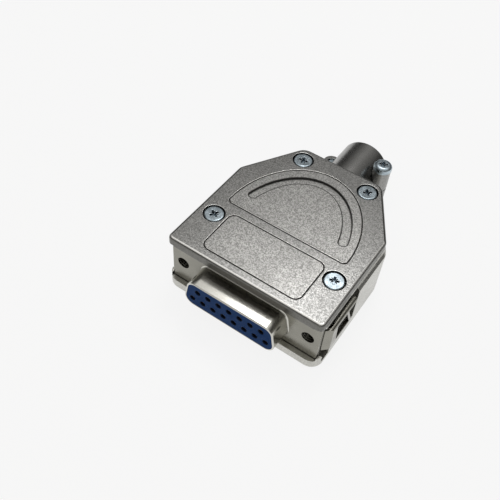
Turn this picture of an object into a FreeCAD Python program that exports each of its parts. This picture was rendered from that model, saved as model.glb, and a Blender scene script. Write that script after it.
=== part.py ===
import FreeCAD, Part
import math
import os
import re
import Sketcher

# A 15-way female D-sub connector in a two-part die-cast hood with a round cable clamp.
# Millimetres. X runs along the connector's long side, Y back towards the cable, Z up.
# The origin is the centre of the mating flange's front face.

SIZES = {
    # connector
    "pitch": (2.77, "contact spacing in a row"),
    "row_gap": (2.84, "distance between the two contact rows"),
    "hole_spacing": (33.32, "flange hole spacing"),
    "hole_rad": (1.55, "flange hole radius"),
    "flange_length": (39.14, "flange length"),
    "flange_height": (12.55, "flange height"),
    "flange_thick": (0.55, "thickness of each shell's flange"),
    "flange_corner": (0.9, "flange corner radius"),
    "dee_half": (12.33, "half width of the D outline at its wide side"),
    "dee_high": (3.95, "half height of the D outline"),
    "dee_depth": (5.7, "how far the D shell stands in front of the flange"),
    "dee_corner": (2.4, "corner radius of the D outline"),
    "dee_angle": (10, "slope of the D outline's ends, degrees"),
    "sheet_thick": (0.4, "shell sheet thickness"),
    "root_round": (0.45, "radius between shell and flange"),
    "nose_round": (0.25, "radius on the shell's front edge"),
    "face_step": (0.06, "insulator face behind the shell's edge"),
    "ledge_grow": (0.8, "how far the insulator ledges stand out"),
    "ledge_thick": (1.15, "thickness of each insulator ledge"),
    "tail_inset": (0.3, "rear insulator inside the D outline"),
    "tail_depth": (4.3, "rear insulator behind the rear shell's pocket"),
    # contacts
    "mouth_rad": (0.6, "contact hole in the insulator face"),
    "mouth_depth": (0.6, "length of the contact hole in the face"),
    "barrel_rad": (0.8, "contact barrel radius"),
    "socket_rad": (0.52, "socket bore radius"),
    "socket_depth": (6.2, "socket bore depth"),
    "contact_end": (10.4, "rear end of the solder cup"),
    "cup_rad": (0.55, "solder cup bore radius"),
    "cup_depth": (2.8, "solder cup bore depth"),
    "cup_open": (2.1, "length of the open side of the solder cup"),
    # hood
    "top": (8.5, "top face of the cover"),
    "part_line": (6.4, "plane where cover and housing meet"),
    "base": (8.8, "depth of the housing's underside"),
    "roof": (1.5, "cover thickness"),
    "floor_thick": (1.6, "housing floor thickness"),
    "front": (1.4, "hood in front of the flange face"),
    "cover_half": (20, "cover half width"),
    "shoulder": (26.6, "where the sides turn in"),
    "rear_half": (11, "cover half width at the rear"),
    "rear": (42.1, "rear face of the cover"),
    "rim_out": (0.05, "housing rim outside the cover"),
    "wall_out": (0.7, "housing wall outside the cover"),
    "rim_low": (4.9, "lower edge of the housing rim"),
    "rim_slope": (0.6, "slope under the housing rim"),
    "cover_wall": (1.4, "cover skirt thickness"),
    "cover_edge": (0.7, "radius of the cover's top edge"),
    "front_corner": (1.2, "front corner radius"),
    "inner_corner": (2.4, "front corner radius of the walls, before they move in or out"),
    "side_corner": (2.4, "corner radius where the sides turn in"),
    "rear_corner": (3.2, "rear corner radius"),
    "base_round": (0.6, "radius of the housing's lower edge"),
    "wall_in": (1, "inside of the housing wall, from the cover's edge"),
    "inner_front": (1.15, "front of the space inside the housing"),
    "seat": (6.35, "half height of the flange seat"),
    "seat_half": (19.7, "half width of the flange seat"),
    "seat_rear": (2.6, "rear end of the flange seat's side walls"),
    "lip": (6.15, "half height between the lips before the flange"),
    "lip_half": (18.2, "half width of the cover's front lip"),
    "slack": (0.05, "gap between flange and lips"),
    "corner_post": (5.3, "depth of the housing's front corner posts"),
    "bulkhead_half": (17.2, "half width of the rib behind the connector"),
    "bulkhead_thick": (1.4, "thickness of that rib"),
    "bulkhead_top": (5, "height of that rib"),
    "bulkhead_gap": (12.15, "half width of the opening in that rib"),
    "bulkhead_sill": (3.85, "depth of the opening in that rib"),
    "locator_thick": (0.9, "thickness of the cover's locating lip"),
    "locator_low": (5.6, "lower edge of the locating lip"),
    "locator_front": (15.4, "front end of the locating lip"),
    "locator_gap": (0.12, "gap beside the locating lip"),
    # cover decoration
    "label_half": (12.65, "half width of the label field"),
    "label_front": (0.75, "front edge of the label field"),
    "label_rear": (13.05, "rear edge of the label field"),
    "label_round": (2, "corner radius of the label field"),
    "arch_y": (15.15, "straight edge of the arched field"),
    "arch_half": (15.8, "half width of the arched field"),
    "arch_deep": (22.1, "depth of the arched field"),
    "arch_round": (1.3, "corner radius of the arched field"),
    "groove": (0.32, "width of the outline grooves"),
    "groove_deep": (0.2, "depth of the outline grooves"),
    "slot_half": (12.65, "half width of the curved slot's middle line"),
    "slot_deep": (18.2, "depth of the curved slot's middle line"),
    "slot_wide": (1.05, "half width of the curved slot"),
    "slot_sink": (0.5, "how far the curved slot is sunk"),
    "slot_front": (20.6, "where the curved slot ends"),
    # cover screws
    "front_screw_x": (15.77, "front cover screws, from the middle"),
    "front_screw_y": (10.3, "front cover screws, from the flange"),
    "rear_screw_x": (9, "rear cover screws, from the middle"),
    "rear_screw_y": (38, "rear cover screws, from the flange"),
    "head_rad": (2.4, "cover screw head radius"),
    "head_high": (1.35, "cover screw head height"),
    "head_round": (0.45, "radius of the head's edge"),
    "shank_rad": (1.25, "screw shank radius"),
    "shank_long": (9, "cover screw shank length"),
    "head_well": (2.65, "radius of the well round a screw head"),
    "well_deep": (1.4, "depth of that well"),
    "well_pad": (3.2, "radius of the pad under a well"),
    "pass_rad": (1.45, "screw clearance hole radius"),
    "boss_rad": (2.2, "housing screw boss radius"),
    "thread_rad": (1.3, "threaded hole radius"),
    "thread_deep": (9.4, "threaded hole depth"),
    "cross_long": (1.15, "half length of the cross recess"),
    "cross_wide": (0.32, "half width of the cross recess"),
    "cross_deep": (0.8, "depth of the cross recess"),
    # side pockets
    "pocket_rear": (14.3, "rear end of the side pocket"),
    "pocket_top": (5.5, "upper edge of the side pocket"),
    "pocket_low": (5.2, "depth of the side pocket"),
    "pocket_in": (18.9, "inner side of the side pocket"),
    "pocket_front": (0.6, "front end of the wall over the pocket"),
    "notch_rear": (3.9, "rear end of the deeper front part"),
    # locking slide
    "travel": (1.2, "travel of the locking slide"),
    "slide_front": (1.2, "front face of the slide plate"),
    "slide_thick": (0.8, "slide plate thickness"),
    "slide_bar": (6.7, "half height of the slide plate"),
    "slide_bar_half": (16.4, "half width of its full height"),
    "strap_high": (3.8, "half height of the slide's ends"),
    "strap_out": (21.1, "outer face of the right end"),
    "strap_bend": (1.35, "size of the slanted bend"),
    "strap_rear": (12.8, "rear tip of the slide's ends"),
    "strap_lip": (1.3, "width of the inward lip on the ends"),
    "strap_lip_front": (4.4, "front of that lip"),
    "keyhole_rad": (1.65, "large part of the keyhole"),
    "keyhole_slot": (0.85, "half height of its slot"),
    "window_front": (4.5, "front of the finger window at the top"),
    "window_slant": (0.8, "slant of the window's front edge"),
    "window_top": (2.7, "top of the finger window"),
    "window_low": (3.2, "depth of the finger window"),
    "window_rear": (8.5, "rear of the window at the top"),
    "window_rear_low": (11.2, "rear of the window at the bottom"),
    "rim_rear": (0.9, "width of the strip behind the window"),
    "slide_gap": (0.15, "gap between the slide and the connector"),
    # cable clamp
    "tube_z": (1.2, "cable axis below the flange centre"),
    "tube_rad": (6.4, "clamp tube radius"),
    "tube_front": (43.15, "front of the clamp tube"),
    "tube_rear": (57.2, "rear end of the clamp tube"),
    "tube_edge": (0.3, "radius of the tube's rear edge"),
    "neck_rad": (5.85, "radius of the neck in the housing wall"),
    "neck_hole": (6, "radius of the opening for the neck"),
    "collar_half": (6.7, "half width of the collar inside"),
    "collar_high": (5.75, "half height of the collar inside"),
    "collar_front": (39.5, "front of the collar"),
    "collar_rear": (41, "rear of the collar"),
    "bore_rad": (4.7, "cable bore radius"),
    "groove_rad": (5.2, "radius between the gripping ribs"),
    "grip_start": (44, "front of the first wide stretch"),
    "grip_long": (2.5, "length of each wide stretch"),
    "grip_step": (3.4, "spacing of the gripping ribs"),
    "split": (0.1, "half of the gap between the clamp halves"),
    "clamp_x": (6.9, "clamp screws, from the middle"),
    "clamp_y": (51.45, "clamp screws, from the flange"),
    "ear_rad": (2.3, "radius of the clamp's screw bosses"),
    "ear_tall": (5.9, "height of the boss under a head"),
    "ear_low": (0.5, "height of the upper half's threaded boss"),
    "ear_deep": (3.4, "height of the lower half's threaded boss"),
    "clamp_head_rad": (2.38, "clamp screw head radius"),
    "clamp_head_high": (1.7, "clamp screw head height"),
    "clamp_head_round": (1.1, "radius of its domed edge"),
    "shank_right": (8.6, "shank length of the right clamp screw"),
    "shank_left": (6.4, "shank length of the left clamp screw"),
}

LOWER_ROW = 8
UPPER_ROW = 7
POCKET_BACK = "(flange_thick + 2 * ledge_thick + sheet_thick)"
CONTACT_START = "(mouth_depth - dee_depth)"
CROSS_ANGLES = (18, -28, 40, 8)

os.makedirs("parts", exist_ok=True)
doc = FreeCAD.newDocument("d_sub_connector")
sheet = doc.addObject("Spreadsheet::Sheet", "sheet")
for row, (alias, (number, note)) in enumerate(SIZES.items(), 1):
    sheet.set(f"A{row}", note)
    sheet.set(f"B{row}", str(number))
    sheet.setAlias(f"B{row}", alias)
doc.recompute()

TURN = {
    "z": FreeCAD.Rotation(),
    "y": FreeCAD.Rotation(FreeCAD.Vector(1, 0, 0), -90),
}
PARTS = []


# Helpers

def bind(text):
    """An expression in which the cell names point at the sheet."""
    return re.sub(r"[a-z_]+", lambda word: f"sheet.{word[0]}" if word[0] in SIZES else word[0], text)


def cell(name):
    """A cell's number."""
    return float(SIZES[name][0])


def new_part(label):
    """An empty body for one sub-part."""
    owner = doc.addObject("PartDesign::Body", label)
    owner.Label = label
    PARTS.append(owner)
    return owner


def place(item, x="0", y="0", z="0", turn=None):
    """Put an item at a point given by three expressions."""
    if turn:
        item.Placement = FreeCAD.Placement(FreeCAD.Vector(), turn)
    for axis, text in zip("xyz", (x, y, z)):
        item.setExpression(f"Placement.Base.{axis}", bind(text))


def box(owner, name, low, high, cut=False):
    """A block between two corners."""
    item = owner.newObject("PartDesign::SubtractiveBox" if cut else "PartDesign::AdditiveBox", name)
    place(item, *low)
    for side, start, end in zip(("Length", "Width", "Height"), low, high):
        item.setExpression(side, bind(f"({end}) - ({start})"))
    return item


def rod(owner, name, start, radius, length, axis="z", cut=False):
    """A round bar from its start point, along one axis."""
    item = owner.newObject("PartDesign::SubtractiveCylinder" if cut else "PartDesign::AdditiveCylinder", name)
    item.setExpression("Radius", bind(radius))
    item.setExpression("Height", bind(length))
    place(item, *start, turn=TURN[axis])
    return item


def dee(owner, name, inset, front_y, rear_y, cut=False, right="0"):
    """A block or a cut with the D outline moved inwards, wide side down, between two planes across Y."""
    high = "(dee_high - dee_corner)"
    wide = "(dee_half - dee_corner * (tan(dee_angle) + 1 / cos(dee_angle)))"
    narrow = f"({wide} - 2 * {high} * tan(dee_angle))"
    slope, radius = cell("dee_angle"), f"(dee_corner - ({inset}))"
    outline = sketch_on(owner, f"{name}Sketch", "XZ_Plane", f"-({front_y if cut else rear_y})")
    corners = both_sides([(wide, f"-{high}", radius, -90, slope), (narrow, high, radius, slope, 90)])
    rounded(outline, [(f"{x} + {right}", *rest) for x, *rest in corners[:2]] + corners[2:])
    return (pocket if cut else pad)(owner, name, outline, f"({rear_y}) - ({front_y})")


def sketch_on(owner, name, role, lift="0"):
    """A sketch on one of the body's own planes, lifted along the plane's normal."""
    item = owner.newObject("Sketcher::SketchObject", name)
    plane = next(feature for feature in owner.Origin.OriginFeatures if feature.Role == role)
    item.AttachmentSupport = [(plane, "")]
    item.MapMode = "FlatFace"
    item.setExpression("AttachmentOffset.Base.z", bind(lift))
    return item


probe = doc.addObject("App::FeaturePython", "probe")
probe.addProperty("App::PropertyFloat", "Number")


def number(text):
    """The value of an expression, for a sketch's first guess."""
    probe.setExpression("Number", bind(text))
    probe.recompute()
    return float(probe.Number)


def hold(sketch, kind, vertex, text, guess):
    """Tie one coordinate of a vertex to an expression."""
    index = sketch.addConstraint(Sketcher.Constraint(kind, -1, 1, *vertex, guess))
    sketch.setExpression(f"Constraints[{index}]", bind(text))


def polygon(sketch, corners):
    """A closed outline whose corners are pairs of expressions."""
    points = [FreeCAD.Vector(number(x), number(y), 0) for x, y in corners]
    count = len(points)
    first = sketch.GeometryCount
    for index in range(count):
        sketch.addGeometry(Part.LineSegment(points[index], points[(index + 1) % count]), False)
    for index in range(count):
        here, following = first + index, first + (index + 1) % count
        sketch.addConstraint(Sketcher.Constraint("Coincident", here, 2, following, 1))
    for index, (x, y) in enumerate(corners):
        hold(sketch, "DistanceX", (first + index, 1), x, points[index].x)
        hold(sketch, "DistanceY", (first + index, 1), y, points[index].y)


def rounded(sketch, corners):
    """A closed outline of arcs, anticlockwise, joined by tangent lines.

    Each corner is its centre's x and y, its radius and its first and last angle.
    """
    first, count = sketch.GeometryCount, len(corners)
    for x, y, radius, start, end in corners:
        round_edge = arc(number(x), number(y), number(radius), math.radians(start), math.radians(end))
        sketch.addGeometry(round_edge, False)
    for index in range(count):
        here, following = first + index, first + (index + 1) % count
        line = Part.LineSegment(sketch.getPoint(here, 2), sketch.getPoint(following, 1))
        side = sketch.addGeometry(line, False)
        sketch.addConstraint(Sketcher.Constraint("Tangent", here, 2, side, 1))
        sketch.addConstraint(Sketcher.Constraint("Tangent", side, 2, following, 1))
    for index, (x, y, radius, *_) in enumerate(corners):
        hold(sketch, "DistanceX", (first + index, 3), x, number(x))
        hold(sketch, "DistanceY", (first + index, 3), y, number(y))
        tied = sketch.addConstraint(Sketcher.Constraint("Radius", first + index, number(radius)))
        sketch.setExpression(f"Constraints[{tied}]", bind(radius))


def both_sides(corners):
    """The corners of the right side, from front to rear, followed by their mirror images."""
    left = [(f"-({x})", y, radius, 180 - end, 180 - start) for x, y, radius, start, end in corners[::-1]]
    return corners + left


def rounded_box(sketch, half, low, high, radius):
    """A rectangle about the middle line with round corners."""
    x = f"({half}) - ({radius})"
    rounded(sketch, both_sides([
        (x, f"({low}) + ({radius})", radius, -90, 0), (x, f"({high}) - ({radius})", radius, 0, 90),
    ]))


def arc(x, y, radius, start, end):
    """A circular arc between two angles in radians."""
    return Part.ArcOfCircle(Part.Circle(FreeCAD.Vector(x, y, 0), FreeCAD.Vector(0, 0, 1), radius), start, end)


def fixed(sketch, *shapes):
    """Geometry worked out from the sheet's numbers and blocked in place."""
    for shape in shapes:
        index = sketch.addGeometry(shape, False)
        sketch.addConstraint(Sketcher.Constraint("Block", index))


def ellipse_arc(centre_y, half, deep, reach):
    """The rear part of an ellipse about the middle line, up to an angle each side of its tip."""
    middle = FreeCAD.Vector(0, centre_y, 0)
    whole = Part.Ellipse(middle + FreeCAD.Vector(0, deep, 0), middle - FreeCAD.Vector(half, 0, 0), middle)
    return Part.ArcOfEllipse(whole, -reach, reach)


def circle(sketch, x, y, radius):
    """A circle given by three expressions."""
    centre = FreeCAD.Vector(number(x), number(y), 0)
    index = sketch.addGeometry(Part.Circle(centre, FreeCAD.Vector(0, 0, 1), number(radius)), False)
    hold(sketch, "DistanceY", (index, 3), y, centre.y)
    hold(sketch, "DistanceX", (index, 3), x, centre.x)
    size = sketch.addConstraint(Sketcher.Constraint("Radius", index, number(radius)))
    sketch.setExpression(f"Constraints[{size}]", bind(radius))


def pad(owner, name, profile, length):
    """Material along the profile's normal."""
    item = owner.newObject("PartDesign::Pad", name)
    item.Profile = profile
    item.setExpression("Length", bind(length))
    return item


def pocket(owner, name, profile, length, reverse=False):
    """A cut from the profile, against its normal unless reversed."""
    item = owner.newObject("PartDesign::Pocket", name)
    item.Profile = profile
    item.Reversed = reverse
    item.setExpression("Length", bind(length))
    return item


def soften(owner, name, radius, wanted, kind="Fillet"):
    """Round or bevel the edges of the body so far that pass a test."""
    base = owner.Tip
    doc.recompute()
    names = [f"Edge{index}" for index, edge in enumerate(base.Shape.Edges, 1) if wanted(edge)]
    item = owner.newObject(f"PartDesign::{kind}", name)
    item.Base = (base, names)
    item.setExpression("Radius" if kind == "Fillet" else "Size", bind(radius))
    return item


def runs(edge, axis):
    """Whether a straight edge runs along an axis."""
    if edge.Curve.TypeId != "Part::GeomLine":
        return False
    return abs(getattr(edge.Curve.Direction, axis)) > 0.999


def level(edge, axis, place_at):
    """Whether the whole edge lies in one plane across an axis."""
    bounds = edge.BoundBox
    low, high = getattr(bounds, axis.upper() + "Min"), getattr(bounds, axis.upper() + "Max")
    return abs(low - place_at) < 0.01 and abs(high - place_at) < 0.01


# Connector

def flange(owner, front_y):
    """A shell's flange with rounded corners."""
    half, high = "flange_length / 2", "flange_height / 2"
    box(owner, "Flange", (f"-{half}", front_y, f"-{high}"), (half, f"{front_y} + flange_thick", high))
    soften(owner, "FlangeCorners", "flange_corner", lambda edge: runs(edge, "y"))


def flange_holes(owner, front_y):
    """The two fixing holes."""
    for side, x in mirrored("hole_spacing / 2"):
        rod(owner, f"Hole{side}", (x, f"{front_y} - 1", "0"), "hole_rad", "4", "y", cut=True)


def front_shell():
    """Drawn steel shell: a D-shaped tube that turns out into the mating flange."""
    owner = new_part("front_shell")
    flange(owner, "0")
    dee(owner, "Tube", "0", "-dee_depth", "0")
    root_half = cell("dee_half") + 0.1
    soften(owner, "TubeRoot", "root_round",
           lambda edge: level(edge, "y", 0) and abs(edge.CenterOfMass.x) < root_half
           and abs(edge.CenterOfMass.z) < cell("dee_high") + 0.1)
    soften(owner, "TubeNose", "nose_round", lambda edge: level(edge, "y", -cell("dee_depth")))
    dee(owner, "Inside", "sheet_thick", "-dee_depth - 1", "flange_thick + 1", cut=True)
    flange_holes(owner, "0")


def rear_shell():
    """Drawn steel shell behind the flange, with the pocket that holds both insulators."""
    owner = new_part("rear_shell")
    flange(owner, "flange_thick")
    dee(owner, "Pocket", "-ledge_grow - sheet_thick", "flange_thick", POCKET_BACK)
    dee(owner, "Inside", "-ledge_grow", "0", f"{POCKET_BACK} - sheet_thick", cut=True)
    dee(owner, "Opening", "tail_inset", "0", f"{POCKET_BACK} + 1", cut=True)
    flange_holes(owner, "flange_thick")


def contact_places():
    """The contacts' numbers with their x and z: the longer row is below."""
    places = []
    for count, z in ((LOWER_ROW, "-row_gap / 2"), (UPPER_ROW, "row_gap / 2")):
        places += [(f"({index} - {(count - 1) / 2}) * pitch", z) for index in range(count)]
    return list(enumerate(places, 1))


def contact_holes(owner, name, radius, front_y, length):
    """A hole for each contact, backwards from a plane across Y."""
    profile = sketch_on(owner, f"{name}Sketch", "XZ_Plane", f"-({front_y})")
    for _, (x, z) in contact_places():
        circle(profile, x, z, radius)
    pocket(owner, name, profile, length)


def insulator_front():
    """Moulded front insulator with a ledge that the shells clamp."""
    owner = new_part("insulator_front")
    back = "flange_thick + ledge_thick"
    dee(owner, "Body", "sheet_thick", "face_step - dee_depth", back)
    dee(owner, "Ledge", "-ledge_grow", "flange_thick", back)
    contact_holes(owner, "Mouths", "mouth_rad", "-dee_depth - 1", "mouth_depth + 1.5")
    contact_holes(owner, "Bores", "barrel_rad", CONTACT_START, f"{back} - ({CONTACT_START})")


def insulator_rear():
    """Moulded rear insulator that carries the solder cups."""
    owner = new_part("insulator_rear")
    start, ledge_back = "flange_thick + ledge_thick", f"{POCKET_BACK} - sheet_thick"
    dee(owner, "Tail", "tail_inset", start, f"{ledge_back} + tail_depth")
    dee(owner, "Ledge", "-ledge_grow", start, ledge_back)
    contact_holes(owner, "Bores", "barrel_rad", f"{start} - 1", "ledge_thick + tail_depth + 2")


def contacts():
    """Turned socket contacts, each with a solder cup that opens away from the middle."""
    for index, (x, z) in contact_places():
        owner = new_part(f"contact_{index:02d}")
        length = f"contact_end - ({CONTACT_START})"
        rod(owner, "Barrel", ("0", CONTACT_START, "0"), "barrel_rad", length, "y")
        front = ("0", f"{CONTACT_START} - 1", "0")
        rod(owner, "Socket", front, "socket_rad", "socket_depth + 1", "y", cut=True)
        rod(owner, "Cup", ("0", "contact_end - cup_depth", "0"), "cup_rad", "cup_depth + 1", "y", cut=True)
        box(owner, "CupSide", ("-barrel_rad - 1", "contact_end - cup_open", "barrel_rad / 4"),
            ("barrel_rad + 1", "contact_end + 1", "barrel_rad + 1"), cut=True)
        upside_down = 180 if index <= LOWER_ROW else 0
        place(owner, x, "0", z, turn=FreeCAD.Rotation(FreeCAD.Vector(0, 1, 0), upside_down))


# Hood

def hood_plan(sketch, grow="0", front_y="-front", corner="front_corner"):
    """The hood's plan, moved outwards: straight sides that turn in towards the cable."""
    slant = "atan((cover_half - rear_half) / (rear - shoulder))"
    angle = number(slant)
    front_r, side_r, rear_r = (f"({name} + ({grow}))" for name in (corner, "side_corner", "rear_corner"))
    half = f"cover_half + ({grow})"
    side_in = f"tan({slant} / 2)"
    rear_in = f"tan(45 deg - {slant} / 2)"
    rounded(sketch, both_sides([
        (f"{half} - {front_r}", f"{front_y} + {front_r}", front_r, -90, 0),
        (f"{half} - {side_r}", f"shoulder + ({grow} - {side_r}) * {side_in}", side_r, 0, angle),
        (f"rear_half + ({grow} - {rear_r}) * {rear_in}", f"rear + ({grow}) - {rear_r}", rear_r, angle, 90),
    ]))


def mirrored(x):
    """An expression on the right, and the same on the left."""
    return (("Right", x), ("Left", f"-({x})"))


def side_cut(owner, name, low, high):
    """The same block cut from both sides; x is given for the right side."""
    box(owner, f"{name}Right", low, high, cut=True)
    box(owner, f"{name}Left", (f"-({high[0]})", *low[1:]), (f"-({low[0]})", *high[1:]), cut=True)


def screw_places():
    """The four cover screws with their x and y."""
    return [
        (f"{row}_{side.lower()}", x, f"{row}_screw_y")
        for row in ("front", "rear") for side, x in mirrored(f"{row}_screw_x")
    ]


def housing():
    """Lower casting: floor, side walls with finger pockets, screw bosses and the flange seat."""
    owner = new_part("housing")
    wall = sketch_on(owner, "WallSketch", "XY_Plane", "-base")
    hood_plan(wall, "wall_out", corner="inner_corner")
    pad(owner, "Wall", wall, "base + rim_low")
    soften(owner, "RimSlope", "rim_slope", lambda edge: level(edge, "z", cell("rim_low")), "Chamfer")
    soften(owner, "LowerEdge", "base_round", lambda edge: level(edge, "z", -cell("base")))
    rim = sketch_on(owner, "RimSketch", "XY_Plane", "rim_low - 2")
    hood_plan(rim, "rim_out")
    pad(owner, "Rim", rim, "part_line - rim_low + 2")
    inside = sketch_on(owner, "InsideSketch", "XY_Plane", "floor_thick - base")
    hood_plan(inside, "-wall_in", "inner_front", "inner_corner")
    pocket(owner, "Inside", inside, "base + top", reverse=True)
    box(owner, "FlangeSeat", ("-seat_half", "-slack", "-seat"), ("seat_half", "seat_rear", "top"), cut=True)
    box(owner, "FrontMouth", ("-seat_half", "-front - 1", "-lip"), ("seat_half", "0", "top"), cut=True)
    side_cut(owner, "CornerGap", ("seat_half - 0.1", "-front - 1", "-corner_post"),
             ("seat_half + 4", "pocket_front", "top"))
    side_cut(owner, "SidePocket", ("pocket_in", "0", "-pocket_low"),
             ("pocket_in + 4", "pocket_rear", "pocket_top"))
    side_cut(owner, "SideNotch", ("pocket_in", "pocket_front + 0.3", "floor_thick - base"),
             ("pocket_in + 4", "notch_rear", "0"))

    foot = "floor_thick / 2 - base"
    box(owner, "Bulkhead", ("-bulkhead_half", POCKET_BACK, foot),
        ("bulkhead_half", f"{POCKET_BACK} + bulkhead_thick", "bulkhead_top"))
    box(owner, "BulkheadGap", ("-bulkhead_gap", f"{POCKET_BACK} - 1", "-bulkhead_sill"),
        ("bulkhead_gap", f"{POCKET_BACK} + bulkhead_thick + 1", "top"), cut=True)
    for name, x, y in screw_places():
        rod(owner, f"Boss_{name}", (x, y, foot), "boss_rad", f"part_line - ({foot})")
    for name, x, y in screw_places():
        bottom = (x, y, "part_line - thread_deep")
        rod(owner, f"Thread_{name}", bottom, "thread_rad", "thread_deep + 1", cut=True)
    inside_wall = "rear - wall_in - 0.5"
    rod(owner, "NeckHole", ("0", inside_wall, "-tube_z"), "neck_hole", "4", "y", cut=True)
    box(owner, "NeckSlot", ("-neck_hole", inside_wall, "-tube_z"), ("neck_hole", "rear + 4", "top"),
        cut=True)


def cover():
    """Upper casting: a lid with a label field, an arched field and four screw wells."""
    owner = new_part("cover")
    outline = sketch_on(owner, "OutlineSketch", "XY_Plane", "part_line")
    hood_plan(outline)
    pad(owner, "Lid", outline, "top - part_line")
    soften(owner, "TopEdge", "cover_edge", lambda edge: level(edge, "z", cell("top")))
    hollow = sketch_on(owner, "HollowSketch", "XY_Plane", "top - roof")
    hood_plan(hollow, "-cover_wall", "inner_front", "inner_corner")
    pocket(owner, "Hollow", hollow, "top - roof - part_line + 1")
    box(owner, "FlangeRib", ("0.1 - seat_half", "-slack", "seat"),
        ("seat_half - 0.1", "inner_front", "top - roof"))
    box(owner, "FrontLip", ("-lip_half", "-front", "lip"), ("lip_half", "-slack", "top - roof"))
    locating_lip(owner)
    for name, x, y in screw_places():
        rod(owner, f"Pad_{name}", (x, y, "part_line"), "well_pad", "top - roof - part_line + 0.2")
    box(owner, "Tongue", ("0.1 - neck_hole", "rear - wall_in", "0"),
        ("neck_hole - 0.1", "rear", "top - roof"))
    rod(owner, "TongueArch", ("0", "rear - wall_in - 2", "-tube_z"), "neck_hole", "8", "y", cut=True)
    for name, x, y in screw_places():
        rod(owner, f"Well_{name}", (x, y, "top - well_deep"), "head_well", "well_deep + 1", cut=True)
        rod(owner, f"Pass_{name}", (x, y, "part_line - 2"), "pass_rad", "5", cut=True)
    label_field(owner)
    arched_field(owner)
    curved_slot(owner)


def locating_lip(owner):
    """A low wall under the lid that fits inside the housing behind the side pockets."""
    band = sketch_on(owner, "LocatorSketch", "XY_Plane", "locator_low")
    for inset, front_y in (("locator_gap", "locator_front"),
                           ("(locator_gap + locator_thick)", "locator_front + locator_thick")):
        hood_plan(band, f"-wall_in - {inset}", front_y, "inner_corner")
    pad(owner, "Locator", band, "top - roof - locator_low + 0.1")
    for name, x, y in screw_places()[2:]:
        rod(owner, f"LocatorGap_{name}", (x, y, "locator_low - 1"), "boss_rad + locator_gap",
            "part_line - locator_low + 1", cut=True)


def label_field(owner):
    """The label field: a rounded rectangle outlined by a fine groove."""
    outline = sketch_on(owner, "LabelSketch", "XY_Plane", "top")
    for inset in ("0", "groove"):
        rounded_box(outline, f"label_half - {inset}", f"label_front + {inset}", f"label_rear - {inset}",
                    f"label_round - {inset}")
    pocket(owner, "LabelGroove", outline, "groove_deep")


def arched_field(owner):
    """The arched field: half an ellipse behind a straight edge, outlined by a fine groove."""
    outline = sketch_on(owner, "ArchSketch", "XY_Plane", "top")
    base_y, corner = cell("arch_y"), cell("arch_round")
    for inset in (0, cell("groove")):
        half, radius, line_y = cell("arch_half") - inset, corner - inset, base_y + inset
        centre_x, centre_y = half - radius, line_y + radius
        tip = cell("arch_deep") - corner - inset
        fixed(
            outline,
            ellipse_arc(centre_y, half, tip, math.pi / 2),
            arc(-centre_x, centre_y, radius, math.pi, 1.5 * math.pi),
            Part.LineSegment(FreeCAD.Vector(-centre_x, line_y, 0), FreeCAD.Vector(centre_x, line_y, 0)),
            arc(centre_x, centre_y, radius, 1.5 * math.pi, 2 * math.pi),
        )
    pocket(owner, "ArchGroove", outline, "groove_deep")


def curved_slot(owner):
    """The sunken slot that follows the arched field's edge and ends in half circles."""
    outline = sketch_on(owner, "SlotSketch", "XY_Plane", "top")
    base_y, half, deep, wide = (cell(name) for name in ("arch_y", "slot_half", "slot_deep", "slot_wide"))
    reach = math.acos((cell("slot_front") - base_y) / deep)
    end_x, end_y = half * math.sin(reach), base_y + deep * math.cos(reach)
    slope = math.pi / 2 - reach
    fixed(
        outline,
        ellipse_arc(base_y, half + wide, deep + wide, reach),
        ellipse_arc(base_y, half - wide, deep - wide, reach),
        arc(end_x, end_y, wide, slope - math.pi, slope),
        arc(-end_x, end_y, wide, math.pi - slope, 2 * math.pi - slope),
    )
    pocket(owner, "Slot", outline, "slot_sink")


def screw(label, head_rad, head_high, head_round, shank_long):
    """A cross-recess screw with its head's seat at the origin and its head up."""
    owner = new_part(label)
    rod(owner, "Head", ("0", "0", "0"), head_rad, head_high)
    soften(owner, "HeadEdge", head_round, lambda edge: level(edge, "z", cell(head_high)))
    rod(owner, "Shank", ("0", "0", f"-({shank_long})"), "shank_rad", shank_long)
    soften(owner, "Tip", "shank_rad / 4", lambda edge: level(edge, "z", -cell(shank_long)), "Chamfer")
    floor_z = f"{head_high} - cross_deep"
    for name, x, y in (("Long", "cross_long", "cross_wide"), ("Wide", "cross_wide", "cross_long")):
        box(owner, f"Cross{name}", (f"-{x}", f"-{y}", floor_z), (x, y, f"{head_high} + 1"), cut=True)
    return owner


def cover_screws():
    """The four screws that hold the cover, each driven home at its own angle."""
    for (name, x, y), angle in zip(screw_places(), CROSS_ANGLES):
        owner = screw(f"cover_screw_{name}", "head_rad", "head_high", "head_round", "shank_long")
        place(owner, x, y, "top - well_deep", turn=FreeCAD.Rotation(FreeCAD.Vector(0, 0, 1), angle))


# Locking slide

def slide_end(owner, name, across, shift):
    """One end of the slide: a slanted bend and a straight leg, as a plan outline that is made tall."""
    out = "strap_out - travel / 2"
    inside = f"{out} - slide_thick"
    bend, fold = "strap_bend", "slide_thick * tan(22.5 deg)"
    profile = sketch_on(owner, f"{name}Sketch", "XY_Plane", "-strap_high")
    back = "slide_front + slide_thick"
    corners = [
        ("slide_bar_half - 1", "slide_front"), (f"{out} - {bend}", "slide_front"),
        (out, f"slide_front + {bend}"), (out, "strap_rear"),
        (inside, "strap_rear"), (inside, f"slide_front + {bend} + {fold}"),
        (f"{out} - {bend} - {fold}", back), ("slide_bar_half - 1", back),
    ]
    polygon(profile, [(f"{shift} + {across} * ({x})", y) for x, y in corners])
    pad(owner, name, profile, "2 * strap_high")


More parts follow.
